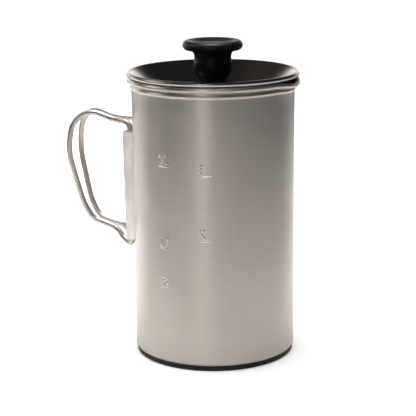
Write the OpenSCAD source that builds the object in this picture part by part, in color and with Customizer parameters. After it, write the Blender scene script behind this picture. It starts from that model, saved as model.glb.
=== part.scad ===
// Camping coffee press: sheet-titanium pot with two folding wire handles, a dished lid
// with a guide bush, and a plunger with a black knob, a rod and a sprung mesh filter.
// Units are millimetres. The origin is the centre of the pad that the pot stands on,
// +Z points up, the handle is on -X and the spout is on +X.
// The lid is on and the plunger is pressed right down.

/* [Pot] */
// Outer radius of the straight pot wall
wall_r = 43; // [40:0.5:46]
// Thickness of the drawn sheet of the pot and the lid
sheet_t = 0.6; // [0.5:0.1:0.8]
// Thickness of the non-slip pad under the pot
pad_t = 2.6; // [2:0.1:4]
// Height of the highest point of the rolled rim
rim_top_z = 149.3; // [140:0.1:160]
// Radius of the rolled rim's section
rim_bead_r = 1.45; // [1.2:0.05:1.6]

/* [Spout] */
// Half of the angle that the pouring lip covers
spout_half_angle = 27; // [20:1:32]
// How far the rim dips at the middle of the lip
spout_dip = 2.2; // [1:0.1:3]
// How far the rim flares outwards at the middle of the lip
spout_flare = 1.6; // [0.5:0.1:2]

/* [Lid] */
// Height of the top of the lid's flat floor
lid_floor_z = 142.8; // [141.5:0.1:143.5]
// Slope of the lid's pan between its flat floor and its edge, in degrees
lid_slope = 39; // [36:0.5:42]
// Gap between the lid's rolled edge and the pot's rolled rim
lid_gap = 0.3; // [0.3:0.1:0.8]

/* [Plunger] */
// Radius of the plunger rod
rod_r = 2; // [1.8:0.1:2.3]
// Radial clearance of the rod in its guide bush
rod_clearance = 0.08; // [0.05:0.01:0.1]
// Gap between the filter's spring and the pot wall
filter_gap = 0.3; // [0.3:0.05:0.6]
// Radius of the knob's flange
knob_r = 15.85; // [13:0.05:17]

/* [Handle] */
// Radius of the handle wire
wire_r = 1.6; // [1.2:0.05:1.6]
// Distance of each wire hinge from the handle's centre plane
hinge_offset = 7.5; // [7:0.1:9]
// Distance of each wire hinge from the pot's axis, along the centre plane
hinge_reach = 44.85; // [44.8:0.05:45.2]
// Angle that each wire loop swings through, from folded round the pot to open
handle_swing = 123; // [115:1:125]
// Radial clearance of the wire ends in the bracket
hinge_clearance = 0.06; // [0.04:0.01:0.1]

/* [Hidden] */
$fn = 64;

titanium = [0.70, 0.67, 0.63];
steel = [0.75, 0.75, 0.76];
black_plastic = [0.06, 0.06, 0.065];

// ---- Pot sizes ----
pot_inner_r = wall_r - sheet_t;
base_corner_r = 1.6;
// The neck and rim start here; the spout and the rest of the rim are built above it
neck_z = rim_top_z - 12.9;
spout_root_z = rim_top_z - 10.9;
rim_r = pot_inner_r + rim_bead_r;
rim_z = rim_top_z - rim_bead_r;
flare_z = rim_top_z - 6.5;
flare_bend_r = 1.5;
flare_angle = 45;
ridge_r = 0.75;
spout_steps = 24;

// ---- Lid sizes ----
lid_bead_r = 1.25;
lid_bead_z = rim_top_z + lid_gap + lid_bead_r;
lid_top_z = lid_bead_z + lid_bead_r;
lid_edge_r = rim_r + 0.4;
lid_shoulder_r = 2.8;
// Centre of the bend between the lid's rolled edge and its slope, and the slope's upper end
lid_shoulder = [lid_edge_r, lid_top_z - lid_shoulder_r];
lid_slope_top = lid_shoulder + lid_shoulder_r * [-sin(lid_slope), cos(lid_slope)];
lid_floor_r = lid_slope_top[0] - (lid_slope_top[1] - lid_floor_z) / tan(lid_slope);
bush_shank_r = 3.95;
guide_washer_z = lid_floor_z - sheet_t - 0.82;
guide_nut_h = 3;

// ---- Plunger sizes; the filter stands a little above the pot's floor ----
pot_floor_z = pad_t + sheet_t;
hub_nut_z = pot_floor_z + 1;
hub_nut_h = 3;
washer_t = 0.8;
cross_plate_z = hub_nut_z + hub_nut_h + washer_t;
plate_t = 0.8;
mesh_t = 0.4;
mesh_z = cross_plate_z + plate_t;
spring_plate_z = mesh_z + mesh_t;
spring_wire_r = 1.1;
filter_r = pot_inner_r - filter_gap;
spring_ring_r = filter_r - spring_wire_r;
disc_r = spring_ring_r - spring_wire_r - 0.1;
dome_h = 2.6;
collar_washer_z = spring_plate_z + plate_t + dome_h;
collar_z = collar_washer_z + washer_t;
collar_h = 5;
bush_bore_r = rod_r + rod_clearance;
snug = 0.03;

// ---- Knob sizes ----
knob_bottom_z = lid_floor_z + 1.3;
knob_bulb_r = 0.643 * knob_r;
knob_neck_r = 0.612 * knob_r;
knob_top_z = knob_bottom_z + 23.8;
knob_cap_r = 7.3;
rod_top_z = knob_top_z - 3.4;

// ---- Handle sizes ----
hinge_axis_r = norm([hinge_reach, hinge_offset]);
hinge_side_angle = atan2(hinge_offset, hinge_reach);
bracket_bottom_z = 58.8;
bracket_top_z = 118.4;
barrel_w = 4.5;
barrel_outer = hinge_reach + 3.8;
barrel_taper = 1.2;
hinge_bore_r = wire_r + hinge_clearance;
hinge_pin_l = 12;
wire_sides = 16;
// The bent wire is drawn this much thinner than its straight ends, and let into them
wire_lap = 0.4;
wire_inset = 0.02;
// Corners of the wire's centre line, unrolled: distance round from the hinge, height,
// and the radius of the bend at that corner
wire_corners = [
    [0, bracket_top_z + 0.8 - wire_lap, 0],
    [0, 122.8, 4],
    [13, 124, 22],
    [33.2, 130.2, 12.5],
    [38.2, 106, 38],
    [30, 75, 35],
    [24.6, 67.3, 8],
    [10.5, 63.1, 11],
    [7, 58.9, 5],
    [0, 54.8, 2],
    [0, bracket_bottom_z - 0.2 + wire_lap, 0]
];

// ---- Shared functions ----
// Points along an arc in a plane, from angle a0 to angle a1
function arc(c, r, a0, a1, n) =
    [for (i = [0:n]) let (a = a0 + (a1 - a0) * i / n) [c[0] + r * cos(a), c[1] + r * sin(a)]];

// Points along a cubic Bezier curve; the first point is left out
function bezier(p, n) =
    [for (i = [1:n]) let (t = i / n, s = 1 - t)
        s * s * s * p[0] + 3 * s * s * t * p[1] + 3 * s * t * t * p[2] + t * t * t * p[3]];

function unit(v) = v / norm(v);

// Points of the bend at corner b of the path a, b, c
function bend(a, b, c, r, n) =
    let (u = unit(a - b), v = unit(c - b), half = acos(u * v) / 2,
        centre = b + unit(u + v) * r / sin(half),
        p = b + u * r / tan(half) - centre,
        turn = (u[0] * v[1] - u[1] * v[0] > 0 ? -1 : 1) * (180 - 2 * half))
    [for (i = [0:n]) let (w = turn * i / n)
        centre + [p[0] * cos(w) - p[1] * sin(w), p[0] * sin(w) + p[1] * cos(w)]];

// Points that split the straight line between a and b into equal steps no longer than the gap
function between(a, b, gap) =
    let (n = floor(norm(b - a) / gap))
    [for (i = [1:1:n]) a + (b - a) * i / (n + 1)];

// A path through corners of the form [x, y, bend radius], with straight runs split up
function flat(p) = [p[0], p[1]];
function rounded_path(q, n, gap) =
    let (last = len(q) - 1,
        bends = concat([[flat(q[0])]],
            [for (i = [1:last - 1]) bend(flat(q[i - 1]), flat(q[i]), flat(q[i + 1]), q[i][2], n)],
            [[flat(q[last])]]))
    concat(bends[0], [for (i = [1:last])
        let (before = bends[i - 1]) each concat(
            between(before[len(before) - 1], bends[i][0], gap), bends[i])]);

function reversed(list) = [for (i = [len(list) - 1:-1:0]) list[i]];

// Triangles between equal rings of points
function side_faces(rings, sides) =
    [for (i = [0:rings - 2]) for (j = [0:sides - 1])
        let (k = (j + 1) % sides, a = i * sides, b = a + sides)
        for (triangle = [[a + j, a + k, b + k], [a + j, b + k, b + j]]) triangle];

// Faces of a tube with flat round ends
function skin_faces(rings, sides) =
    concat([[for (j = [0:sides - 1]) sides - 1 - j]],
        side_faces(rings, sides),
        [[for (j = [0:sides - 1]) (rings - 1) * sides + j]]);

// Faces of a bent strip: each ring runs up one side of the strip and back down the other
function strip_faces(rings, sides) =
    let (last = (rings - 1) * sides, rows = sides / 2)
    concat([for (j = [0:rows - 2]) let (k = sides - 1 - j) [k, k - 1, j + 1, j]],
        side_faces(rings, sides),
        [for (j = [0:rows - 2]) let (k = sides - 1 - j)
            [last + j, last + j + 1, last + k - 1, last + k]]);

module hex_nut(across, h, bore) {
    linear_extrude(h) difference() {
        circle(r = across / sqrt(3), $fn = 6);
        circle(r = bore);
    }
}

module ring(r_out, r_in, h) {
    linear_extrude(h) difference() {
        circle(r = r_out);
        circle(r = r_in);
    }
}

// ---- Pot ----
// Outside and inside lines of the neck's sheet, from the wall up to the rolled rim,
// drawn thinner by the inset on each side; both have the same number of points
flare_c = [wall_r + flare_bend_r, flare_z];
ridge_c = flare_c - (flare_bend_r + ridge_r) * [cos(flare_angle), -sin(flare_angle)];
bead_c = [rim_r, rim_z];
bead_start_angle = -115;
neck_step = 2;
function sheet_outside(inset) =
    concat([for (i = [0:2]) [wall_r - inset, neck_z + i * neck_step]],
        arc(flare_c, flare_bend_r + inset, 180, 180 - flare_angle, 4),
        arc(ridge_c, ridge_r - inset, 10 - flare_angle, 45, 3));
function sheet_inside(inset) =
    let (flare = arc(flare_c, flare_bend_r + sheet_t - inset, 180, 180 - flare_angle, 4),
        top = [rim_r - rim_bead_r + inset, rim_z - 1.2])
    concat([for (i = [0:2]) [pot_inner_r + inset, neck_z + i * neck_step]], flare,
        [for (i = [1:4]) flare[4] + (top - flare[4]) * i / 4]);

// Section pulled down and out by the share s of the full spout
function spout_point(p, s) =
    let (h = max(0, (p[1] - spout_root_z) / (rim_top_z - spout_root_z)))
    [p[0] + s * spout_flare * h * h, p[1] - s * spout_dip * pow(h, 1.5)];

// Share of the full spout at an angle from its middle
function spout_share(a) = abs(a) < spout_half_angle ? pow(cos(90 * a / spout_half_angle), 2) : 0;

// A section swept round the pot's axis, following the spout
spout_lap_angle = 0.6;
function spout_rings(section) =
    [for (i = [0:spout_steps])
        let (a = (spout_half_angle + spout_lap_angle) * (2 * i / spout_steps - 1))
        for (p = section) let (q = spout_point(p, spout_share(a)))
            [q[0] * cos(a), q[0] * sin(a), q[1]]];

module rim_sector() {
    rotate_extrude(start = spout_half_angle, angle = 360 - 2 * spout_half_angle, $fn = 180)
        polygon(concat(sheet_outside(0), arc(bead_c, rim_bead_r, bead_start_angle, 180, 16),
            reversed(sheet_inside(0))));
}

// The pouring lip: its sheet and its rolled edge, let a little way into the rest of the pot
module spout_sector() {
    lap = 0.4;
    inset = 0.02;
    outside = sheet_outside(inset);
    inside = sheet_inside(inset);
    bead_start = bead_c + rim_bead_r * [cos(bead_start_angle), sin(bead_start_angle)];
    ridge_end = outside[len(outside) - 1];
    sheet = concat(
        [outside[0] - [0, lap]], outside,
        [bead_start + lap * unit(bead_start - ridge_end) - [inset, 0]],
        [bead_c + [0.1 - rim_bead_r, -0.3]], reversed(inside), [inside[0] - [0, lap]]);
    bead = arc(bead_c, rim_bead_r - inset, 0, 360 * 15 / 16, 15);
    polyhedron(spout_rings(sheet), strip_faces(spout_steps + 1, len(sheet)), convexity = 6);
    polyhedron(spout_rings(bead), skin_faces(spout_steps + 1, len(bead)), convexity = 6);
}

module pot_wall() {
    corner = [wall_r - base_corner_r, pad_t + base_corner_r];
    rotate_extrude($fn = 180) polygon(concat(
        [[0, pad_t]],
        arc(corner, base_corner_r, -90, 0, 6),
        [[wall_r, neck_z], [pot_inner_r, neck_z]],
        arc(corner, base_corner_r - sheet_t, 0, -90, 6),
        [[0, pot_floor_z]]));
}

module pot_shell() {
    color(titanium) union() {
        pot_wall();
        rim_sector();
        spout_sector();
    }
}

module base_pad() {
    pad_r = wall_r - 0.7;
    edge = 0.5;
    groove_r = 30;
    color(black_plastic) rotate_extrude($fn = 180) polygon([
        [0, 0], [groove_r, 0], [groove_r + 0.4, 0.5], [groove_r + 1.6, 0.5], [groove_r + 2, 0],
        [pad_r - edge, 0], [pad_r, edge], [pad_r, pad_t - 0.02], [0, pad_t - 0.02]]);
}

// ---- Handle ----
module hinge_slot(reach) {
    circle(r = hinge_bore_r);
    translate([-reach, 0]) circle(r = hinge_bore_r);
    translate([-reach, -hinge_bore_r]) square([reach, 2 * hinge_bore_r]);
}

module barrel_outline() {
    round_r = 1.1;
    length = barrel_outer - wall_r + 2;
    translate([-barrel_outer, 0]) {
        translate([round_r, -barrel_w / 2]) square([length, barrel_w]);
        translate([0, round_r - barrel_w / 2]) square([length, barrel_w - 2 * round_r]);
        for (side = [-1, 1])
            translate([round_r, side * (barrel_w / 2 - round_r)]) circle(r = round_r);
    }
}

// Two barrels joined by a web on the wall; the barrels' outer sides stand just off the wall
module bracket_outline() {
    web_t = 0.8;
    stand_off = 0.3;
    difference() {
        union() {
            for (side = [-1, 1]) translate([0, side * hinge_offset]) barrel_outline();
            translate([-barrel_outer + 1, -hinge_offset]) square([6, 2 * hinge_offset]);
        }
        translate([-barrel_outer, -hinge_offset + barrel_w / 2])
            square([barrel_outer - wall_r - web_t, 2 * hinge_offset - barrel_w]);
        circle(r = wall_r + 0.02, $fn = 180);
        difference() {
            circle(r = wall_r + stand_off, $fn = 180);
            translate([-wall_r - 2, -hinge_offset]) square([4, 2 * hinge_offset]);
        }
    }
}

module handle_bracket() {
    height = bracket_top_z - bracket_bottom_z;
    pocket_h = 13;
    pocket_reach = 1.5;
    color(titanium) difference() {
        translate([0, 0, bracket_bottom_z]) linear_extrude(height) bracket_outline();
        // Bores for the wire ends, open at the top into a wider mouth
        for (side = [-1, 1]) translate([-hinge_reach, side * hinge_offset, 0]) {
            translate([0, 0, bracket_bottom_z - 1]) cylinder(r = hinge_bore_r, h = height + 2);
            translate([0, 0, bracket_top_z - pocket_h])
                linear_extrude(pocket_h + 1) hinge_slot(pocket_reach);
        }
        // The outer face leans in towards the bottom
        translate([-barrel_outer, 0, bracket_top_z]) rotate([0, -atan(barrel_taper / height), 0])
            translate([-10, -20, -2 * height]) cube([10, 40, 2 * height]);
    }
}

// One wire loop as it lies folded round the pot; side is -1 for the near loop, 1 for the far one
module folded_wire(side) {
    path = rounded_path(wire_corners, 6, 4);
    n = len(path);
    place = function(p) let (a = 180 - side * (hinge_side_angle + p[0] / hinge_axis_r * 180 / PI))
        [hinge_axis_r * cos(a), hinge_axis_r * sin(a), p[1]];
    rings = [for (i = [0:n - 1])
        let (here = place(path[i]),
            tangent = unit(path[min(i + 1, n - 1)] - path[max(i - 1, 0)]),
            out = unit([here[0], here[1], 0]),
            round_dir = side * [out[1], -out[0], 0],
            across = tangent[1] * round_dir - tangent[0] * [0, 0, 1])
        for (j = [0:wire_sides - 1]) let (w = side * 360 * j / wire_sides)
            here + (wire_r - wire_inset) * (cos(w) * out + sin(w) * across)];
    polyhedron(rings, skin_faces(n, wire_sides), convexity = 8);
}

module handle_wire(side) {
    pivot = [-hinge_reach, side * hinge_offset, 0];
    upper_pin_z = bracket_top_z + 0.8 - hinge_pin_l;
    lower_pin_z = bracket_bottom_z - 0.2;
    union() {
        translate(pivot) rotate([0, 0, side * handle_swing]) translate(-pivot) folded_wire(side);
        for (z = [upper_pin_z, lower_pin_z])
            translate(pivot + [0, 0, z]) cylinder(r = wire_r, h = hinge_pin_l);
    }
}

module handle_wire_near() {
    color(steel) handle_wire(-1);
}

module handle_wire_far() {
    color(steel) handle_wire(1);
}

// ---- Lid ----
module lid_dish() {
    hole_r = bush_shank_r + snug;
    under_r = lid_floor_r + sheet_t * tan(lid_slope / 2);
    color(titanium) rotate_extrude($fn = 180) union() {
        translate([lid_edge_r, lid_bead_z]) circle(r = lid_bead_r, $fn = 32);
        polygon(concat(
            arc(lid_shoulder, lid_shoulder_r, 90, 90 + lid_slope, 6),
            [[lid_floor_r, lid_floor_z], [hole_r, lid_floor_z]],
            [[hole_r, lid_floor_z - sheet_t], [under_r, lid_floor_z - sheet_t]],
            arc(lid_shoulder, lid_shoulder_r - sheet_t, 90 + lid_slope, 90, 6)));
    }
}

module guide_bush() {
    flange_r = 6.6;
    flange_h = 1;
    shank_l = 6;
    color(black_plastic) translate([0, 0, lid_floor_z]) rotate_extrude() polygon([
        [bush_bore_r, -shank_l], [bush_shank_r, -shank_l], [bush_shank_r, 0], [flange_r, 0],
        [flange_r, flange_h - 0.4], [flange_r - 0.4, flange_h], [bush_bore_r, flange_h]]);
}

module guide_washer() {
    color(steel) translate([0, 0, guide_washer_z]) ring(7.5, bush_shank_r + snug, washer_t);
}

module guide_nut() {
    color(steel) translate([0, 0, guide_washer_z - 0.02 - guide_nut_h])
        hex_nut(12, guide_nut_h, bush_shank_r + snug);
}

// ---- Knob ----
function knob_outline() =
    let (edge_r = 2.5, edge = [knob_r - edge_r, knob_top_z - edge_r], dish_z = knob_top_z - 1.2,
        low = knob_bottom_z, shoulder = [8.9, low + 5.6])
    concat(
        [[5.2, low], [5.6, low + 0.5]],
        bezier([[5.6, low + 0.5], [6.3, low + 2.2], [7.8, low + 3.8], shoulder], 8),
        bezier([shoulder, [9.8, low + 7], [knob_bulb_r, low + 8.4], [knob_bulb_r, low + 10.6]], 6),
        bezier([[knob_bulb_r, low + 10.6], [knob_bulb_r, low + 13.2],
            [knob_neck_r, low + 13.6], [knob_neck_r, low + 15]], 8),
        bezier([[knob_neck_r, low + 15], [knob_neck_r, low + 17],
            [edge[0] - 2.6, edge[1] - edge_r], [edge[0], edge[1] - edge_r]], 8),
        arc(edge, edge_r, -80, 90, 12),
        bezier([[edge[0], knob_top_z], [edge[0] - 1.6, knob_top_z],
            [knob_cap_r + 2, dish_z + 0.1], [knob_cap_r + 0.5, dish_z]], 6),
        [[knob_cap_r + 0.1, dish_z - 0.3], [knob_cap_r + 0.1, dish_z - 1.3]]);

module knob_body() {
    pocket_r = 4.6;
    pocket_z = rod_top_z - 3.6;
    cap_z = knob_top_z - 2.5;
    color(black_plastic) rotate_extrude($fn = 96) polygon(concat(
        [[rod_r + snug, knob_bottom_z]],
        knob_outline(),
        [[pocket_r, cap_z], [pocket_r, pocket_z], [rod_r + snug, pocket_z]]));
}

module knob_cap() {
    z = knob_top_z - 2.48;
    h = 1.2;
    color(black_plastic) rotate_extrude($fn = 96) polygon([
        [0, z], [knob_cap_r, z], [knob_cap_r, z + h - 0.3], [knob_cap_r - 0.3, z + h],
        [knob_cap_r / 2, z + h - 0.15], [0, z + h - 0.2]]);
}

module knob_nut() {
    h = 3.2;
    color(steel) translate([0, 0, rod_top_z - 3.58]) hex_nut(7, h, rod_r + snug);
}

// ---- Rod and filter ----
module plunger_rod() {
    chamfer = 0.4;
    color(steel) rotate_extrude() polygon([
        [0, hub_nut_z - 0.4], [rod_r - chamfer, hub_nut_z - 0.4], [rod_r, hub_nut_z],
        [rod_r, rod_top_z - chamfer], [rod_r - chamfer, rod_top_z], [0, rod_top_z]]);
}

module rod_collar() {
    color(steel) translate([0, 0, collar_z]) rotate_extrude() polygon([
        [rod_r + snug, 0], [4.2, 0], [4.2, collar_h - 0.8], [3.4, collar_h], [rod_r + snug, collar_h]]);
}

module collar_washer() {
    color(steel) translate([0, 0, collar_washer_z + 0.02]) ring(6, rod_r + snug, washer_t - 0.04);
}

// Domed plate with rows of holes that holds the edge spring down
module spring_plate() {
    hub_r = 9;
    slope_r = 15;
    lip_r = spring_ring_r + 0.4;
    clamp_z = spring_plate_z + 2 * spring_wire_r;
    hole_rows = 12;
    hole_share = 0.075;
    color(steel) difference() {
        rotate_extrude($fn = 180) union() {
            polygon([
                [rod_r + snug, spring_plate_z + dome_h], [hub_r, spring_plate_z + dome_h],
                [slope_r, spring_plate_z], [disc_r - 0.2, spring_plate_z],
                [disc_r - 0.2, spring_plate_z + plate_t], [slope_r + 0.4, spring_plate_z + plate_t],
                [hub_r + 0.4, spring_plate_z + dome_h + plate_t],
                [rod_r + snug, spring_plate_z + dome_h + plate_t]]);
            polygon([
                [disc_r - 1, spring_plate_z + 0.1], [disc_r - 0.2, spring_plate_z + 0.1],
                [disc_r - 0.2, clamp_z + 0.3], [lip_r - 0.5, clamp_z + 0.3], [lip_r, clamp_z + 0.8],
                [disc_r - 1, clamp_z + 0.8]]);
        }
        for (i = [0:hole_rows - 1]) rotate([0, 0, i * 360 / hole_rows])
            for (r = [20, 26.5, 33])
                translate([r, 0, spring_plate_z - 1]) cylinder(r = hole_share * r, h = 3, $fn = 32);
    }
}

// The coil spring round the filter's edge, as the plain ring that its coils fill
module edge_spring() {
    color(steel) translate([0, 0, spring_plate_z + spring_wire_r]) rotate_extrude($fn = 180)
        translate([spring_ring_r, 0]) circle(r = spring_wire_r - 0.03, $fn = 32);
}

// The woven mesh as the plain disc that it fills, turned up a little at the edge
module mesh_screen() {
    color(steel) translate([0, 0, mesh_z + 0.02]) ring(spring_ring_r, rod_r + snug, mesh_t - 0.04);
}

// Lower plate with rings of holes for the liquid
module cross_plate() {
    // Each ring of holes: its radius, how many holes, and the radius of a hole
    hole_rings = [[11, 8, 2], [19, 12, 2.4], [27.5, 18, 2.4], [34, 24, 1.8]];
    color(steel) translate([0, 0, cross_plate_z]) linear_extrude(plate_t - 0.02) difference() {
        circle(r = disc_r, $fn = 180);
        circle(r = rod_r + snug);
        for (row = hole_rings) for (i = [0:row[1] - 1]) rotate(i * 360 / row[1])
            translate([row[0], 0]) circle(r = row[2], $fn = 32);
    }
}

module lower_washer() {
    color(steel) translate([0, 0, cross_plate_z - washer_t + 0.02])
        ring(7, rod_r + snug, washer_t - 0.04);
}

module hub_nut() {
    color(steel) translate([0, 0, hub_nut_z]) hex_nut(8, hub_nut_h - 0.02, rod_r + snug);
}

pot_shell();
base_pad();
handle_bracket();
handle_wire_near();
handle_wire_far();
lid_dish();
guide_bush();
guide_washer();
guide_nut();
knob_body();
knob_cap();
knob_nut();
plunger_rod();
rod_collar();
collar_washer();
spring_plate();
edge_spring();
mesh_screen();
cross_plate();
lower_washer();
hub_nut();
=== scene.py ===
"""Looks of the camping coffee press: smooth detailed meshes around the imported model, in its frame.

Lengths in this script are millimetres, turned into metres where a mesh is made. +Z is up, the
handle is on -X and the pouring lip on +X.
"""

import math

import bmesh
import bpy
from mathutils import Matrix, Vector


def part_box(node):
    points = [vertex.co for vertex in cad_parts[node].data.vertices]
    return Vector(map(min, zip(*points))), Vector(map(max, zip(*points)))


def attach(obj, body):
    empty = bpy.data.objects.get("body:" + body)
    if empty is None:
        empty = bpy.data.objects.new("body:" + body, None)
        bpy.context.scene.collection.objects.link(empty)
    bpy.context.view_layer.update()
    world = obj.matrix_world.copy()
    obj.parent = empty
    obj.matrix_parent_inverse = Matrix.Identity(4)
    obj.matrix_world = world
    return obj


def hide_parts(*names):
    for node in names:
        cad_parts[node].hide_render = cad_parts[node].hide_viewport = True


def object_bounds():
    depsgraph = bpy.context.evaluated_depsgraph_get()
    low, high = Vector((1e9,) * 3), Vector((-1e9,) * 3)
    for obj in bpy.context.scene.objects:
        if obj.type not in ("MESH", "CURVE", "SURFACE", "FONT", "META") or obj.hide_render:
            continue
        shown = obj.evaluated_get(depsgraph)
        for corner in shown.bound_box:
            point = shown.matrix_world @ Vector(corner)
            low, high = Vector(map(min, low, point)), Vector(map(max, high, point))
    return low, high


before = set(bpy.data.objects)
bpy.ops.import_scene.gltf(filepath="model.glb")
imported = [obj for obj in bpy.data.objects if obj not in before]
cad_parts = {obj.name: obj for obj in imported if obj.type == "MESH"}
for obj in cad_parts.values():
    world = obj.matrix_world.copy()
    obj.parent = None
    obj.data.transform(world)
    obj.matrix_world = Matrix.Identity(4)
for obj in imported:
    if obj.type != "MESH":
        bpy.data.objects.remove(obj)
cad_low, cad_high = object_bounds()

MM = 0.001


def node_box(node):
    """Lowest and highest corner of a CAD node, in millimetres."""
    low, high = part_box(node)
    return Vector(low) / MM, Vector(high) / MM


# ---------------------------------------------------------------- sizes, from the frame
pot_low, pot_high = node_box("pot_shell")
pad_high = node_box("base_pad")[1]
lid_low, lid_high = node_box("lid_dish")
knob_low, knob_high = node_box("knob_body")
ring_low, ring_high = node_box("edge_spring")
screen_low, screen_high = node_box("mesh_screen")
bracket_low, bracket_high = node_box("handle_bracket")

SHEET = 0.6
WALL_R = pad_high.y + 0.7
POT_BOTTOM = pot_low.z
BASE_CORNER_R = 1.6
RIM_TOP = pot_high.z
RIM_BEAD_R = 1.45
RIM_R = pot_high.y - RIM_BEAD_R
RIM_Z = RIM_TOP - RIM_BEAD_R
FLARE_Z = RIM_TOP - 6.5
FLARE_R = 1.5
FLARE_ANGLE = 45
RIDGE_R = 0.75
SPOUT_ROOT_Z = RIM_TOP - 10.9
SPOUT_HALF_ANGLE = 27
SPOUT_DIP = 2.2
SPOUT_FLARE = 1.6

LID_BEAD_R = 1.25
LID_TOP = lid_high.z
LID_EDGE_R = lid_high.y - LID_BEAD_R
LID_FLOOR_Z = lid_low.z + SHEET
LID_SLOPE = math.radians(39)
LID_SHOULDER_R = 2.8
LID_HOLE_R = 3.98

KNOB_R = knob_high.x
KNOB_BOTTOM = knob_low.z
KNOB_TOP = knob_high.z
KNOB_CAP_R = 7.3
ROD_BORE_R = 2.03

WIRE_R = 1.6
HINGE_REACH = 44.85
HINGE_OFFSET = 7.5
HANDLE_SWING = 123


# ---------------------------------------------------------------- camera
CAMERA_AZIMUTH = math.radians(20)


def make_camera():
    """The camera looks down at the press from its front left, past the handle."""
    azimuth = CAMERA_AZIMUTH
    elevation = math.radians(13.654)
    roll = math.radians(-0.518)
    distance = 756.6
    aim_side = -3.2
    aim_height = 77.49
    side = Vector((math.cos(azimuth), math.sin(azimuth), 0))
    back = Vector((math.sin(azimuth) * math.cos(elevation),
                   -math.cos(azimuth) * math.cos(elevation), math.sin(elevation)))
    up = back.cross(side)
    right = side * math.cos(roll) + up * math.sin(roll)
    up = up * math.cos(roll) - side * math.sin(roll)
    aim = side * aim_side + Vector((0, 0, aim_height))
    camera = bpy.data.objects.new("camera", bpy.data.cameras.new("camera"))
    camera.data.sensor_width = 36
    camera.data.lens = 121.7
    camera.matrix_world = Matrix.Translation((aim + back * distance) * MM) @ Matrix(
        (right, up, back)).transposed().to_4x4()
    bpy.context.collection.objects.link(camera)
    bpy.context.scene.camera = camera


make_camera()


# ---------------------------------------------------------------- mesh helpers
def arc(x, z, radius, start, end, steps):
    """Points along an arc in a section, angles in degrees."""
    points = []
    for i in range(steps + 1):
        a = math.radians(start + (end - start) * i / steps)
        points.append((x + radius * math.cos(a), z + radius * math.sin(a)))
    return points


def line(start, end, steps):
    """Points between two section points, leaving out the first."""
    return [tuple(s + (e - s) * i / steps for s, e in zip(start, end)) for i in range(1, steps + 1)]


def bezier(points, steps):
    """Points along a cubic curve, leaving out the first."""
    p = [Vector(q) for q in points]
    out = []
    for i in range(1, steps + 1):
        t = i / steps
        s = 1 - t
        q = p[0] * s ** 3 + p[1] * 3 * s * s * t + p[2] * 3 * s * t * t + p[3] * t ** 3
        out.append(tuple(q))
    return out


def finish_mesh(name, builder, body, material, replaces=(), sharp=35):
    """Turns a bmesh in millimetres into a piece that rides on a body."""
    bmesh.ops.remove_doubles(builder, verts=builder.verts, dist=1e-4)
    bmesh.ops.recalc_face_normals(builder, faces=builder.faces)
    bmesh.ops.scale(builder, vec=(MM, MM, MM), verts=builder.verts)
    mesh = bpy.data.meshes.new(name)
    builder.to_mesh(mesh)
    builder.free()
    mesh.shade_smooth()
    mesh.set_sharp_from_angle(angle=math.radians(sharp))
    mesh.materials.append(material)
    piece = bpy.data.objects.new(name, mesh)
    bpy.context.collection.objects.link(piece)
    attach(piece, body)
    if replaces:
        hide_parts(*replaces)
    return piece


def lathe(builder, section, steps=192, shape=None):
    """A closed section turned round the Z axis; shape may move a point by its angle."""
    columns = []
    for i in range(steps):
        a = 2 * math.pi * i / steps
        column = []
        for radius, z in section:
            if shape:
                radius, z = shape(radius, z, a)
            column.append(builder.verts.new((radius * math.cos(a), radius * math.sin(a), z)))
        columns.append(column)
    count = len(section)
    for i in range(steps):
        here, there = columns[i], columns[(i + 1) % steps]
        for j in range(count):
            k = (j + 1) % count
            if section[j][0] < 1e-6 and section[k][0] < 1e-6:
                continue
            builder.faces.new((here[j], there[j], there[k], here[k]))


def tube(builder, points, radius, sides, closed=False, outward=None):
    """A round tube along points, joined into a ring or with flat ends."""
    count = len(points)
    rings = []
    normal = None
    for i, here in enumerate(points):
        before = points[(i - 1) % count] if closed or i else here
        after = points[(i + 1) % count] if closed or i < count - 1 else here
        along = (after - before).normalized()
        if outward:
            normal = outward(here)
        elif normal is None:
            normal = along.orthogonal()
        normal = (normal - along * normal.dot(along)).normalized()
        across = along.cross(normal)
        rings.append([
            builder.verts.new(here + radius * (math.cos(2 * math.pi * j / sides) * normal
                                               + math.sin(2 * math.pi * j / sides) * across))
            for j in range(sides)])
    pairs = list(zip(rings, rings[1:]))
    if closed:
        pairs.append((rings[-1], rings[0]))
    for a, b in pairs:
        for j in range(sides):
            k = (j + 1) % sides
            builder.faces.new((a[j], a[k], b[k], b[j]))
    if not closed:
        for ring in (rings[0], rings[-1]):
            tip = builder.verts.new(sum((v.co for v in ring), Vector()) / sides)
            for j in range(sides):
                builder.faces.new((ring[j], ring[(j + 1) % sides], tip))


# ---------------------------------------------------------------- material helpers
def new_material(name):
    material = bpy.data.materials.new(name)
    material.use_nodes = True
    return material, material.node_tree.nodes["Principled BSDF"]


def add_node(material, kind, inputs=None, **settings):
    """A node with its settings; inputs maps a socket to a value or to another node's output."""
    node = material.node_tree.nodes.new(kind)
    for key, value in settings.items():
        setattr(node, key, value)
    for key, value in (inputs or {}).items():
        if isinstance(value, bpy.types.NodeSocket):
            material.node_tree.links.new(value, node.inputs[key])
        else:
            node.inputs[key].default_value = value
    return node


def link(material, output, node, key):
    material.node_tree.links.new(output, node.inputs[key])


def math_node(material, operation, a, b=0.0):
    return add_node(material, "ShaderNodeMath", {0: a, 1: b}, operation=operation).outputs[0]


def object_coordinates(material):
    """Object coordinates in millimetres."""
    source = add_node(material, "ShaderNodeTexCoord").outputs["Object"]
    scaled = add_node(material, "ShaderNodeVectorMath", {0: source, "Scale": 1 / MM}, operation="SCALE")
    return scaled.outputs[0]


def noise(material, vector, scale, detail=3.0, rough=0.55):
    node = add_node(material, "ShaderNodeTexNoise",
                    {"Vector": vector, "Scale": scale, "Detail": detail, "Roughness": rough})
    return node.outputs[0]


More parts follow.
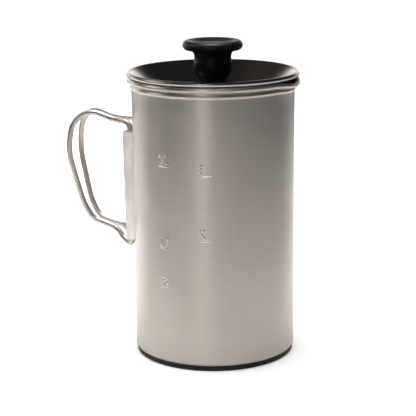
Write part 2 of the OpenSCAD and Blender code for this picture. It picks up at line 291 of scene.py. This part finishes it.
def ramp(material, value, low, high, out_low=0.0, out_high=1.0):
    node = add_node(material, "ShaderNodeMapRange", {
        "Value": value, "From Min": low, "From Max": high, "To Min": out_low, "To Max": out_high})
    return node.outputs["Result"]


def mix_colour(material, factor, a, b):
    node = add_node(material, "ShaderNodeMix", data_type="RGBA")
    link(material, factor, node, 0)
    for index, value in ((6, a), (7, b)):
        if isinstance(value, bpy.types.NodeSocket):
            material.node_tree.links.new(value, node.inputs[index])
        else:
            node.inputs[index].default_value = (*value, 1.0)
    return node.outputs[2]


def bump(material, shader, heights):
    """Chains bumps: each entry is a height output, a strength and a distance in millimetres."""
    normal = None
    for height, strength, distance in heights:
        node = add_node(material, "ShaderNodeBump",
                        {"Height": height, "Strength": strength, "Distance": distance * MM})
        if normal:
            link(material, normal, node, "Normal")
        normal = node.outputs["Normal"]
    link(material, normal, shader, "Normal")


def ring_streaks(material, position, spacing, stretch):
    """Noise drawn out along rings round the Z axis: brush lines of a turned or spun surface."""
    split = add_node(material, "ShaderNodeSeparateXYZ", {0: position})
    flat = add_node(material, "ShaderNodeCombineXYZ", {"X": split.outputs[0], "Y": split.outputs[1]})
    radius = add_node(material, "ShaderNodeVectorMath", {0: flat.outputs[0]}, operation="LENGTH")
    unit = add_node(material, "ShaderNodeVectorMath", {0: flat.outputs[0]}, operation="NORMALIZE")
    unit = add_node(material, "ShaderNodeSeparateXYZ", {0: unit.outputs[0]})
    slant = math_node(material, "MULTIPLY", radius.outputs["Value"], 0.83)
    depth = math_node(material, "DIVIDE", math_node(material, "ADD", slant, split.outputs[2]), spacing)
    x = math_node(material, "MULTIPLY", unit.outputs[0], stretch)
    y = math_node(material, "MULTIPLY", unit.outputs[1], stretch)
    vector = add_node(material, "ShaderNodeCombineXYZ", {"X": x, "Y": y, "Z": depth})
    return noise(material, vector.outputs[0], 1.0, 4.0, 0.6)


def spun_metal(name, tint, rough, anisotropy, blotch=0.06, line_depth=0.004, wave_depth=0.05):
    """Sheet metal brushed in rings, with faint stains and slight waves from forming."""
    material, shader = new_material(name)
    position = object_coordinates(material)
    fine = ring_streaks(material, position, 0.22, 5.0)
    broad = ring_streaks(material, position, 1.6, 2.2)
    stain = noise(material, position, 0.035, 4.0)
    shade = math_node(material, "ADD", math_node(material, "MULTIPLY", fine, 0.5),
                      math_node(material, "MULTIPLY", broad, 0.5))
    dark = tuple(c * (1 - blotch) for c in tint)
    light = tuple(min(1.0, c * (1 + blotch)) for c in tint)
    streaked = mix_colour(material, ramp(material, shade, 0.3, 0.7), dark, light)
    warm = (tint[0] * 1.02, tint[1] * 0.985, tint[2] * 0.95)
    colour = mix_colour(material, ramp(material, stain, 0.45, 0.75, 0.0, 0.55), streaked, warm)
    link(material, colour, shader, "Base Color")
    spread = math_node(material, "ADD", ramp(material, shade, 0.3, 0.7, -0.035, 0.035),
                       ramp(material, stain, 0.35, 0.7, rough - 0.03, rough + 0.03))
    link(material, spread, shader, "Roughness")
    shader.inputs["Metallic"].default_value = 1.0
    shader.inputs["Anisotropic"].default_value = anisotropy
    shader.inputs["Anisotropic Rotation"].default_value = 0.25
    tangent = add_node(material, "ShaderNodeTangent", direction_type="RADIAL", axis="Z")
    link(material, tangent.outputs[0], shader, "Tangent")
    wave = noise(material, position, 0.05, 2.0)
    bump(material, shader, [(fine, 1.0, line_depth), (wave, 1.0, wave_depth)])
    return material


def plain_metal(name, tint, rough, grain=2.0, depth=0.004, blotch=0.05, edge=1.0):
    """Polished, pressed or blasted metal with a fine even grain; edge dims it at grazing angles."""
    material, shader = new_material(name)
    position = object_coordinates(material)
    fine = noise(material, position, grain, 4.0)
    stain = noise(material, position, 0.12, 3.0)
    dark = tuple(c * (1 - blotch) for c in tint)
    colour = mix_colour(material, ramp(material, stain, 0.35, 0.65), dark, tint)
    link(material, colour, shader, "Base Color")
    link(material, ramp(material, fine, 0.3, 0.7, rough * 0.8, rough * 1.2), shader, "Roughness")
    shader.inputs["Metallic"].default_value = 1.0
    shader.inputs["Specular Tint"].default_value = (edge, edge, edge, 1)
    bump(material, shader, [(fine, 1.0, depth)])
    return material


def shade_bores(material):
    """Darkens the base colour inside the bracket's two mouths and bores with painted shade, standing in for
    the shade that falls in them.
    """
    tree = material.node_tree
    shader = tree.nodes["Principled BSDF"]
    unshaded_colour = shader.inputs["Base Color"].links[0].from_socket
    split = add_node(material, "ShaderNodeSeparateXYZ", {0: object_coordinates(material)})
    off_axis = math_node(material, "ABSOLUTE", math_node(
        material, "SUBTRACT", math_node(material, "ABSOLUTE", split.outputs[1]), HINGE_OFFSET))
    inside = math_node(material, "LESS_THAN", off_axis, WIRE_R + 0.12)
    below_top = math_node(material, "LESS_THAN", split.outputs[2], bracket_high.z - 0.05)
    behind_face = math_node(material, "GREATER_THAN", split.outputs[0], bracket_low.x + 0.5)
    bore_shade_mask = math_node(material, "MULTIPLY", inside, math_node(material, "MULTIPLY", below_top, behind_face))
    # Painted shade: near-black base colour wherever the mask finds the mouths and bores
    colour = mix_colour(material, bore_shade_mask, unshaded_colour, (0.03, 0.028, 0.025))
    link(material, colour, shader, "Base Color")


def moulded(name, tint, rough, grain=3.0, depth=0.01, specular=0.5):
    """Moulded plastic or rubber with a fine spark-eroded grain and rubbed patches."""
    material, shader = new_material(name)
    position = object_coordinates(material)
    fine = noise(material, position, grain, 3.0)
    rubbed = noise(material, position, 0.15, 3.0)
    light = tuple(c * 1.35 for c in tint)
    colour = mix_colour(material, ramp(material, rubbed, 0.4, 0.7), tint, light)
    link(material, colour, shader, "Base Color")
    link(material, ramp(material, rubbed, 0.35, 0.7, rough + 0.05, rough - 0.05), shader, "Roughness")
    shader.inputs["Specular IOR Level"].default_value = specular
    bump(material, shader, [(fine, 1.0, depth)])
    return material


TITANIUM = (0.56, 0.505, 0.455)
pot_metal = spun_metal("pot_metal", TITANIUM, 0.36, 0.75)
lid_metal = spun_metal("lid_metal", TITANIUM, 0.3, 0.2, 0.05, 0.002, 0.0)
mark_metal = plain_metal("mark_metal", (0.70, 0.64, 0.58), 0.24)
bracket_metal = plain_metal("bracket_metal", (0.98, 0.90, 0.85), 0.4, 0.9, 0.02, 0.16)
# The bracket's bores get painted shade in their base colour
shade_bores(bracket_metal)
wire_metal = plain_metal("wire_metal", (0.72, 0.65, 0.59), 0.36, 1.5, 0.004, 0.05, 0.3)
steel = plain_metal("steel", (0.68, 0.68, 0.69), 0.2)
rod_metal = spun_metal("rod_metal", (0.70, 0.70, 0.71), 0.12, 0.3, 0.03, 0.001)
filter_metal = spun_metal("filter_metal", (0.66, 0.66, 0.67), 0.27, 0.4)
spring_metal = plain_metal("spring_metal", (0.66, 0.66, 0.67), 0.18)
mesh_metal = plain_metal("mesh_metal", (0.62, 0.62, 0.63), 0.26)
knob_plastic = moulded("knob_plastic", (0.007, 0.007, 0.008), 0.4, 3.0, 0.01, 0.3)
cap_plastic = moulded("cap_plastic", (0.012, 0.012, 0.013), 0.42)
bush_plastic = moulded("bush_plastic", (0.02, 0.02, 0.02), 0.45)
pad_rubber = moulded("pad_rubber", (0.012, 0.011, 0.011), 0.55, 1.5, 0.03, 0.3)


# ---------------------------------------------------------------- pot
def spout_share(angle):
    """How much of the full pouring lip there is at an angle from +X, in radians."""
    a = math.degrees((angle + math.pi) % (2 * math.pi) - math.pi)
    if abs(a) >= SPOUT_HALF_ANGLE:
        return 0.0
    return math.cos(math.radians(90 * a / SPOUT_HALF_ANGLE)) ** 2


def pot_shape(radius, z, angle):
    """The neck and rim drawn out and down into the pouring lip."""
    h = max(0.0, (z - SPOUT_ROOT_Z) / (RIM_TOP - SPOUT_ROOT_Z))
    share = spout_share(angle)
    return radius + share * SPOUT_FLARE * h * h, z - share * SPOUT_DIP * h ** 1.5


def pot_section():
    inner_r = WALL_R - SHEET
    corner = (WALL_R - BASE_CORNER_R, POT_BOTTOM + BASE_CORNER_R)
    flare = (WALL_R + FLARE_R, FLARE_Z)
    turn = math.radians(FLARE_ANGLE)
    ridge = (flare[0] - (FLARE_R + RIDGE_R) * math.cos(turn),
             flare[1] + (FLARE_R + RIDGE_R) * math.sin(turn))
    ridge_arc = arc(*ridge, RIDGE_R, 10 - FLARE_ANGLE, 45, 8)
    bead = arc(RIM_R, RIM_Z, RIM_BEAD_R, -115, 180, 44)
    groove = bezier([ridge_arc[-1], (ridge_arc[-1][0] - 0.15, ridge_arc[-1][1] + 0.3),
                     (bead[0][0] - 0.05, bead[0][1] - 0.6), bead[0]], 6)
    inside_flare = arc(*flare, FLARE_R + SHEET, 180 - FLARE_ANGLE, 180, 10)
    section = [(0, POT_BOTTOM)] + line((0, POT_BOTTOM), (corner[0] - 1, POT_BOTTOM), 6)
    section += arc(*corner, BASE_CORNER_R, -90, 0, 8)
    section += line((WALL_R, corner[1]), (WALL_R, FLARE_Z), 48)[:-1]
    section += arc(*flare, FLARE_R, 180, 180 - FLARE_ANGLE, 12)
    section += ridge_arc + groove + bead[1:]
    section += line(bead[-1], (RIM_R - RIM_BEAD_R, RIM_Z - 1.2), 3)
    section += line(section[-1], inside_flare[0], 3)[:-1] + inside_flare
    section += line((inner_r, FLARE_Z), (inner_r, corner[1]), 48)
    section += arc(*corner, BASE_CORNER_R - SHEET, 0, -90, 6)[1:]
    section += line((corner[0], POT_BOTTOM + SHEET), (0, POT_BOTTOM + SHEET), 8)
    return section


def make_pot():
    builder = bmesh.new()
    lathe(builder, pot_section(), 360, pot_shape)
    finish_mesh("pot_body", builder, "pot", pot_metal, ["pot_shell"])


# ---------------------------------------------------------------- volume marks
def oval(x, y, half_w, half_h, start, end, steps):
    """Points along an oval arc, angles in degrees."""
    turns = [math.radians(start + (end - start) * i / steps) for i in range(steps + 1)]
    return [(x + half_w * math.cos(a), y + half_h * math.sin(a)) for a in turns]


# Each numeral's strokes, as points in a box one unit high and 0.6 wide
NUMERALS = {
    "0": [oval(0.3, 0.5, 0.26, 0.46, 0, 360, 20)],
    "1": [[(0.12, 0.78), (0.32, 0.96), (0.32, 0.04)]],
    "2": [oval(0.3, 0.72, 0.24, 0.24, 165, -45, 14) + [(0.06, 0.04), (0.56, 0.04)]],
    "3": [oval(0.28, 0.74, 0.22, 0.22, 150, -90, 16), oval(0.28, 0.29, 0.26, 0.25, 80, -145, 15)],
    "8": [oval(0.3, 0.74, 0.2, 0.2, 0, 360, 16), oval(0.3, 0.29, 0.26, 0.25, 0, 360, 18)],
}


def raised_stroke(builder, points, half_width, height):
    """A low rounded ridge on the pot wall along points given as (distance round, height)."""
    across_steps = 6
    spacing = 0.3
    sunk = 0.05
    rows = []
    dense = []
    for a, b in zip(points, points[1:]):
        a, b = Vector(a), Vector(b)
        steps = max(1, int((b - a).length / spacing))
        dense += [a + (b - a) * k / steps for k in range(steps)]
    dense.append(Vector(points[-1]))
    count = len(dense)
    for i, here in enumerate(dense):
        along = (dense[min(i + 1, count - 1)] - dense[max(i - 1, 0)]).normalized()
        side = Vector((-along.y, along.x))
        end = min(i, count - 1 - i) * spacing / half_width
        fade = math.sqrt(min(1.0, 0.15 + end))
        row = []
        for k in range(across_steps + 1):
            t = 2 * k / across_steps - 1
            spot = here + side * t * half_width * fade
            lift = height * fade * (1 - t * t) - sunk
            angle = spot.x / WALL_R
            radius = WALL_R + lift
            row.append(builder.verts.new((radius * math.cos(angle), radius * math.sin(angle), spot.y)))
        rows.append(row)
    for a, b in zip(rows, rows[1:]):
        for k in range(across_steps):
            builder.faces.new((a[k], a[k + 1], b[k + 1], b[k]))
        builder.faces.new((a[across_steps], a[0], b[0], b[across_steps]))
    for row in (rows[0], rows[-1]):
        builder.faces.new(row)


def make_marks():
    """Two columns of marks, pressed outwards; the numerals read from inside the pot."""
    numeral_h = 5.0
    numeral_w = 0.6 * numeral_h
    numeral_gap = 0.6
    numeral_lift = 1.3
    tick_w = 6.6
    half_width = 0.5
    height = 0.3
    # Each column: its angle, how far its numerals stand off the tick's middle, and its marks
    columns = [(-106.8, 0.0, [(107.7, "20"), (64.6, "12"), (43.3, "8")]),
               (-74.9, -2.4, [(103.8, "3"), (70.0, "2")])]
    builder = bmesh.new()
    for angle, shift, marks in columns:
        middle = math.radians(angle) * WALL_R
        for z, word in marks:
            raised_stroke(builder, [(middle - tick_w / 2, z), (middle + tick_w / 2, z)], half_width, height)
            total = len(word) * numeral_w + (len(word) - 1) * numeral_gap
            for i, digit in enumerate(word):
                left = shift + total / 2 - i * (numeral_w + numeral_gap)
                for stroke in NUMERALS[digit]:
                    points = [(middle + left - x * numeral_h, z + numeral_lift + y * numeral_h)
                              for x, y in stroke]
                    raised_stroke(builder, points, half_width, height)
    finish_mesh("volume_marks", builder, "pot", mark_metal)


# ---------------------------------------------------------------- lid
def lid_section():
    """Rolled edge, a bend, an even slope, a small bend and the flat floor with its hole."""
    shoulder = (LID_EDGE_R, LID_TOP - LID_SHOULDER_R)
    foot_r = 1.6
    floor_r = (LID_EDGE_R - LID_SHOULDER_R * math.sin(LID_SLOPE)
               - (shoulder[1] + LID_SHOULDER_R * math.cos(LID_SLOPE) - LID_FLOOR_Z) / math.tan(LID_SLOPE))
    foot = (floor_r - foot_r * math.tan(LID_SLOPE / 2), LID_FLOOR_Z + foot_r)
    tilt = math.degrees(LID_SLOPE)
    underside = LID_FLOOR_Z - SHEET
    section = arc(LID_EDGE_R, LID_TOP - LID_BEAD_R, LID_BEAD_R, 90, -150, 36)
    section += arc(*shoulder, LID_SHOULDER_R - SHEET, 118, 90 + tilt, 4)
    under = arc(*foot, foot_r + SHEET, tilt - 90, -90, 8)
    section += line(section[-1], under[0], 6)[:-1] + under
    section += line(section[-1], (LID_HOLE_R, underside), 8)
    section += line(section[-1], (LID_HOLE_R, LID_FLOOR_Z), 1)
    bend = arc(*foot, foot_r, -90, tilt - 90, 8)
    section += line(section[-1], bend[0], 8)[:-1] + bend
    edge = arc(*shoulder, LID_SHOULDER_R, 90 + tilt, 90, 12)[:-1]
    section += line(section[-1], edge[0], 8)[:-1] + edge
    return section


def make_lid():
    builder = bmesh.new()
    lathe(builder, lid_section(), 288)
    return finish_mesh("lid_pan", builder, "lid", lid_metal, ["lid_dish"])


# ---------------------------------------------------------------- handle
def bend_points(a, b, c, radius, steps):
    """Points of the rounded corner at b between a and c."""
    u, v = (a - b).normalized(), (c - b).normalized()
    half = math.acos(u.dot(v)) / 2
    centre = b + (u + v).normalized() * radius / math.sin(half)
    p = b + u * radius / math.tan(half) - centre
    turn = (math.pi - 2 * half) * (-1 if u.x * v.y - u.y * v.x > 0 else 1)
    out = []
    for i in range(steps + 1):
        w = turn * i / steps
        out.append(centre + Matrix.Rotation(w, 2) @ p)
    return out


def wire_path(side):
    """Centre line of one wire loop, open, from the upper pin to the lower pin."""
    pin_l = 11.2
    top, bottom = bracket_high.z + 0.8 - pin_l, bracket_low.z - 0.2 + pin_l
    # Each corner: how far round the folded loop it is, its height and its bend radius
    corners = [(0, top, 0), (0, 122.8, 4), (13, 124, 22), (33.2, 130.2, 12.5), (38.2, 106, 38),
               (30, 75, 35), (24.6, 67.3, 8), (10.5, 63.1, 11), (7, 58.9, 5), (0, 54.8, 2), (0, bottom, 0)]
    flat = [Vector(c[:2]) for c in corners]
    path = [flat[0]]
    for i in range(1, len(flat) - 1):
        bend = bend_points(flat[i - 1], flat[i], flat[i + 1], corners[i][2], 12)
        gap = bend[0] - path[-1]
        steps = max(1, int(gap.length / 1.5))
        path += [path[-1] + gap * k / steps for k in range(1, steps)] + bend
    path.append(flat[-1])
    axis_r = math.hypot(HINGE_REACH, HINGE_OFFSET)
    pivot = Vector((-HINGE_REACH, side * HINGE_OFFSET, 0))
    swing = Matrix.Rotation(math.radians(side * HANDLE_SWING), 3, "Z")
    points = []
    for round_by, z in path:
        angle = math.pi - side * (math.atan2(HINGE_OFFSET, HINGE_REACH) + round_by / axis_r)
        folded = Vector((axis_r * math.cos(angle), axis_r * math.sin(angle), z))
        points.append(pivot + swing @ (folded - pivot))
    return points


def make_wires():
    for which, side in (("near", -1), ("far", 1)):
        builder = bmesh.new()
        tube(builder, wire_path(side), WIRE_R, 32)
        finish_mesh("wire_loop_" + which, builder, "loop_" + which, wire_metal,
                    ["handle_wire_" + which], sharp=50)


# ---------------------------------------------------------------- knob
def knob_section():
    bulb = 0.643 * KNOB_R
    neck = 0.612 * KNOB_R
    low = KNOB_BOTTOM
    shoulder = (8.9, low + 5.6)
    edge_r = 2.5
    edge = (KNOB_R - edge_r, KNOB_TOP - edge_r)
    dish = KNOB_TOP - 1.2
    bore = ROD_BORE_R
    section = [(bore, low), (5, low), (5.4, low + 0.12), (5.6, low + 0.5)]
    section += bezier([(5.6, low + 0.5), (6.3, low + 2.2), (7.8, low + 3.8), shoulder], 16)
    section += bezier([shoulder, (9.8, low + 7), (bulb, low + 8.4), (bulb, low + 10.6)], 12)
    section += bezier([(bulb, low + 10.6), (bulb, low + 13.2), (neck, low + 13.6), (neck, low + 15)], 16)
    section += bezier([(neck, low + 15), (neck, low + 17), (edge[0] - 2.6, edge[1] - edge_r),
                       (edge[0], edge[1] - edge_r)], 16)
    section += arc(*edge, edge_r, -80, 90, 24)
    section += bezier([(edge[0], KNOB_TOP), (edge[0] - 1.6, KNOB_TOP), (KNOB_CAP_R + 2, dish + 0.1),
                       (KNOB_CAP_R + 0.5, dish)], 10)
    # The seat of the cap, and under it the well of the nut
    seat, well_r, well_floor = dish - 1.3, 4.6, KNOB_TOP - 7
    section += [(KNOB_CAP_R + 0.22, dish - 0.1), (KNOB_CAP_R + 0.1, dish - 0.35), (KNOB_CAP_R + 0.1, seat),
                (well_r, seat), (well_r, well_floor), (bore, well_floor)]
    return section


def make_knob():
    builder = bmesh.new()
    lathe(builder, knob_section(), 160)
    finish_mesh("knob_grip", builder, "plunger", knob_plastic, ["knob_body"], sharp=40)


def make_knob_cap():
    """The snap-in cap, with a small pry notch at each side."""
    low, high = node_box("knob_cap")
    notch_half = math.radians(9)

    def notched(radius, z, angle):
        for middle in (0.0, math.pi):
            off = abs((angle - middle + math.pi) % (2 * math.pi) - math.pi)
            if off < notch_half and radius > KNOB_CAP_R - 0.9 and z > low.z + 0.5:
                return radius - 0.55, z
        return radius, z

    section = [(0, low.z), (KNOB_CAP_R, low.z), (KNOB_CAP_R, low.z + 0.45)]
    section += line(section[-1], (KNOB_CAP_R, high.z - 0.3), 2)
    section += arc(KNOB_CAP_R - 0.3, high.z - 0.3, 0.3, 0, 90, 5)[1:]
    section += bezier([section[-1], (KNOB_CAP_R - 1.5, high.z), (4, high.z - 0.18), (0, high.z - 0.2)], 10)
    builder = bmesh.new()
    lathe(builder, section, 160, notched)
    finish_mesh("knob_top_cap", builder, "plunger", cap_plastic, ["knob_cap"])


# ---------------------------------------------------------------- filter
def make_edge_spring():
    """A long coil spring bent into a ring; its turns fill the plain ring of the CAD node."""
    wire = 0.24
    outer = (ring_high.z - ring_low.z) / 2
    ring_r = ring_high.x - outer
    centre_z = (ring_high.z + ring_low.z) / 2
    turns = 180
    per_turn = 14
    coil_r = outer - wire
    points = []
    for i in range(turns * per_turn):
        a = 2 * math.pi * i / (turns * per_turn)
        w = 2 * math.pi * i / per_turn
        radius = ring_r + coil_r * math.cos(w)
        points.append(Vector((radius * math.cos(a), radius * math.sin(a), centre_z + coil_r * math.sin(w))))
    builder = bmesh.new()
    tube(builder, points, wire, 6, closed=True,
         outward=lambda p: Vector((p.x, p.y, 0)).normalized())
    finish_mesh("filter_edge_coil", builder, "plunger", spring_metal,
                ["edge_spring"], sharp=80)


def make_mesh_screen():
    """Plain weave: each wire passes over and under the ones that cross it."""
    pitch = 1.15
    wire = 0.1
    radius = screen_high.x - 0.1
    hole = 2.1
    centre_z = (screen_high.z + screen_low.z) / 2
    count = int(radius / pitch)
    builder = bmesh.new()
    for flip in (0, 1):
        for row in range(-count, count + 1):
            offset = row * pitch
            reach = math.sqrt(max(0.0, radius ** 2 - offset ** 2))
            if reach < 2 * pitch:
                continue
            spans = [(-reach, reach)]
            if abs(offset) < hole:
                gap = math.sqrt(hole ** 2 - offset ** 2)
                spans = [(-reach, -gap), (gap, reach)]
            for start, end in spans:
                steps = int((end - start) / pitch * 4)
                points = []
                for i in range(steps + 1):
                    along = start + (end - start) * i / steps
                    sign = 1 if (row + flip) % 2 else -1
                    lift = sign * wire * math.cos(math.pi * along / pitch)
                    spot = (along, offset) if flip == 0 else (offset, along)
                    points.append(Vector((*spot, centre_z + lift)))
                tube(builder, points, wire * 0.9, 4, outward=lambda p: Vector((0, 0, 1)))
    finish_mesh("woven_screen", builder, "plunger", mesh_metal, ["mesh_screen"], sharp=80)


# ---------------------------------------------------------------- nuts, bush and collar
def make_nut(node, piece_name, body, bore):
    """A hex nut with its corners chamfered off at both faces; two flats face along Y."""
    low, high = node_box(node)
    half_across = (high.y - low.y) / 2
    face_r = 0.96 * half_across
    mouth = bore + 0.35

    def hexed(radius, z, angle):
        if radius <= face_r:
            return radius, z
        turn = (angle % math.radians(60)) - math.radians(30)
        corner = half_across / math.cos(turn)
        drop = (corner - face_r) * math.tan(math.radians(30))
        return corner, (low.z + drop if z < (low.z + high.z) / 2 else high.z - drop)

    section = [(bore, low.z + 0.35), (mouth, low.z), (face_r, low.z), (half_across, low.z),
               (half_across, high.z), (face_r, high.z), (mouth, high.z), (bore, high.z - 0.35)]
    builder = bmesh.new()
    lathe(builder, section, 144, hexed)
    finish_mesh(piece_name, builder, body, steel, [node], sharp=25)


def make_guide_bush():
    """The lid's guide: a chamfered flange on a threaded shank, with a flared mouth."""
    low, high = node_box("guide_bush")
    bore, shank_r, flange_r = 2.08, 3.95, high.x
    pitch, depth = 0.9, 0.4
    flange_z = high.z - 1
    section = [(bore, low.z + 0.4), (bore + 0.4, low.z), (shank_r - 0.5, low.z)]
    z = low.z + 0.3
    while z + pitch < flange_z - 0.9:
        section += [(shank_r - depth, z), (shank_r, z + pitch / 2 - 0.1), (shank_r, z + pitch / 2 + 0.1)]
        z += pitch
    section += [(shank_r - depth, z), (shank_r, z + pitch / 2), (shank_r, flange_z), (flange_r, flange_z)]
    section += arc(flange_r - 0.4, high.z - 0.4, 0.4, 0, 90, 6)
    section += [(bore + 0.5, high.z), (bore, high.z - 0.5)]
    builder = bmesh.new()
    lathe(builder, section, 96)
    finish_mesh("guide_bush_moulding", builder, "lid", bush_plastic, ["guide_bush"])


# ---------------------------------------------------------------- CAD nodes that stay
def dress_node(node, material, bevel=0.0):
    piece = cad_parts[node]
    piece.data.materials.clear()
    piece.data.materials.append(material)
    if bevel:
        modifier = piece.modifiers.new("bevel", "BEVEL")
        modifier.width = bevel * MM
        modifier.segments = 2
        modifier.limit_method = "ANGLE"
        modifier.angle_limit = math.radians(40)
        modifier.harden_normals = True


# ---------------------------------------------------------------- stage and lights
def in_plan(right, away, up=0.0):
    """A vector given in the camera's plan, in metres."""
    return Matrix.Rotation(CAMERA_AZIMUTH, 3, "Z") @ Vector((right, away, up))


def make_stage():
    """A wide white floor, lifted to a clean white where the camera sees it directly."""
    size = 8.0
    clearance = 0.0001
    builder = bmesh.new()
    corners = [builder.verts.new((x * size, y * size, 0)) for x, y in ((-1, -1), (1, -1), (1, 1), (-1, 1))]
    builder.faces.new(corners)
    mesh = bpy.data.meshes.new("floor")
    builder.to_mesh(mesh)
    builder.free()
    floor = bpy.data.objects.new("floor", mesh)
    floor.location.z = cad_low[2] - clearance
    bpy.context.collection.objects.link(floor)
    material, shader = new_material("floor_white")
    seen = add_node(material, "ShaderNodeLightPath").outputs["Is Camera Ray"]
    shader.inputs["Base Color"].default_value = (0.88, 0.88, 0.88, 1)
    shader.inputs["Emission Color"].default_value = (1, 1, 1, 1)
    place = add_node(material, "ShaderNodeNewGeometry").outputs["Position"]
    away = add_node(material, "ShaderNodeVectorMath", {0: place}, operation="LENGTH").outputs["Value"]
    lift = ramp(material, away, 0.12, 0.5, 0.25, 1.0)
    link(material, math_node(material, "MULTIPLY", seen, lift), shader, "Emission Strength")
    shader.inputs["Roughness"].default_value = 0.9
    shader.inputs["Specular IOR Level"].default_value = 0.1
    mesh.materials.append(material)


def make_world():
    """A white backdrop low behind the press, in a dark room; a direct view of it is white."""
    world = bpy.data.worlds.new("studio")
    bpy.context.scene.world = world
    world.use_nodes = True
    direction = add_node(world, "ShaderNodeTexCoord").outputs["Generated"]
    toward = add_node(world, "ShaderNodeVectorMath", {0: direction, 1: in_plan(-0.216, 0.976)},
                      operation="DOT_PRODUCT").outputs["Value"]
    height = add_node(world, "ShaderNodeSeparateXYZ", {0: direction}).outputs[2]
    backdrop_strength = 1.85
    room_strength = 0.02
    backdrop = math_node(world, "MULTIPLY", ramp(world, toward, 0.6, 0.8),
                         ramp(world, height, 0.16, 0.34, 1.0, 0.0))
    strength = math_node(world, "ADD", math_node(world, "MULTIPLY", backdrop, backdrop_strength),
                         room_strength)
    seen = add_node(world, "ShaderNodeLightPath").outputs["Is Camera Ray"]
    background = world.node_tree.nodes["Background"]
    background.inputs["Color"].default_value = (1, 1, 1, 1)
    link(world, math_node(world, "MAXIMUM", strength, seen), background, "Strength")


def panel(name, place, aim, width, tall, power, spread=180):
    """A rectangular light, placed and aimed in the camera's plan."""
    place, aim = in_plan(*place), in_plan(*aim)
    back = (place - aim).normalized()
    side = in_plan(1, 0)
    side = (side - back * side.dot(back)).normalized()
    lamp = bpy.data.lights.new(name, "AREA")
    lamp.shape = "RECTANGLE"
    lamp.size = width
    lamp.size_y = tall
    lamp.energy = power
    lamp.spread = math.radians(spread)
    holder = bpy.data.objects.new(name, lamp)
    holder.matrix_world = Matrix.Translation(place) @ Matrix(
        (side, back.cross(side), back)).transposed().to_4x4()
    holder.visible_camera = False
    bpy.context.collection.objects.link(holder)
    return holder


def make_lights(lid_pan, bracket):
    """Softboxes: the overhead ones are kept off the lid's pan, and one lights the bracket only."""
    bpy.context.scene.view_settings.view_transform = "Standard"
    flagged = bpy.data.collections.new("flagged_off")
    flagged.objects.link(lid_pan)
    flagged.collection_objects[0].light_linking.link_state = "EXCLUDE"
    overhead_height = 0.75
    # Small overhead softboxes side by side: across, away from the camera, and watts
    for i, (across, away, power) in enumerate((
            (-0.55, 0.4, 0.88), (-0.15, -0.6, 0.46), (-0.15, -0.1, 0.79), (-0.15, 0.4, 1.47),
            (0.25, -0.6, 0.13), (0.25, -0.1, 0.58), (0.25, 0.4, 0.77))):
        box = panel("overhead_%d" % (i + 1), (across, away, overhead_height), (across, away, 0),
                    0.4, 0.5, power, 50)
        box.light_linking.receiver_collection = flagged
    panel("front_panel", (-0.35, -1.2, 0.55), (0, 0, 0.1), 0.3, 0.9, 1.12)
    panel("left_panel", (-1.3, 0.1, 0.9), (0, 0, 0.1), 0.6, 0.6, 2.75)
    bracket_only = bpy.data.collections.new("bracket_only")
    bracket_only.objects.link(bracket)
    fill = panel("bracket_fill", (-0.4, -0.8, 0.1), (-0.05, 0, 0.1), 0.4, 0.4, 1.0)
    fill.light_linking.receiver_collection = bracket_only


make_pot()
make_marks()
lid_pan = make_lid()
make_wires()
make_knob()
make_knob_cap()
make_edge_spring()
make_mesh_screen()
make_guide_bush()
make_nut("guide_nut", "guide_hex_nut", "lid", LID_HOLE_R)
make_nut("knob_nut", "knob_hex_nut", "plunger", ROD_BORE_R)
make_nut("hub_nut", "hub_hex_nut", "plunger", ROD_BORE_R)
dress_node("base_pad", pad_rubber, 0.2)
dress_node("handle_bracket", bracket_metal, 0.35)
for washer in ("guide_washer", "collar_washer", "lower_washer"):
    dress_node(washer, steel, 0.12)
dress_node("rod_collar", steel, 0.2)
dress_node("plunger_rod", rod_metal)
for plate in ("spring_plate", "cross_plate"):
    dress_node(plate, filter_metal, 0.12)
make_stage()
make_world()
make_lights(lid_pan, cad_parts["handle_bracket"])
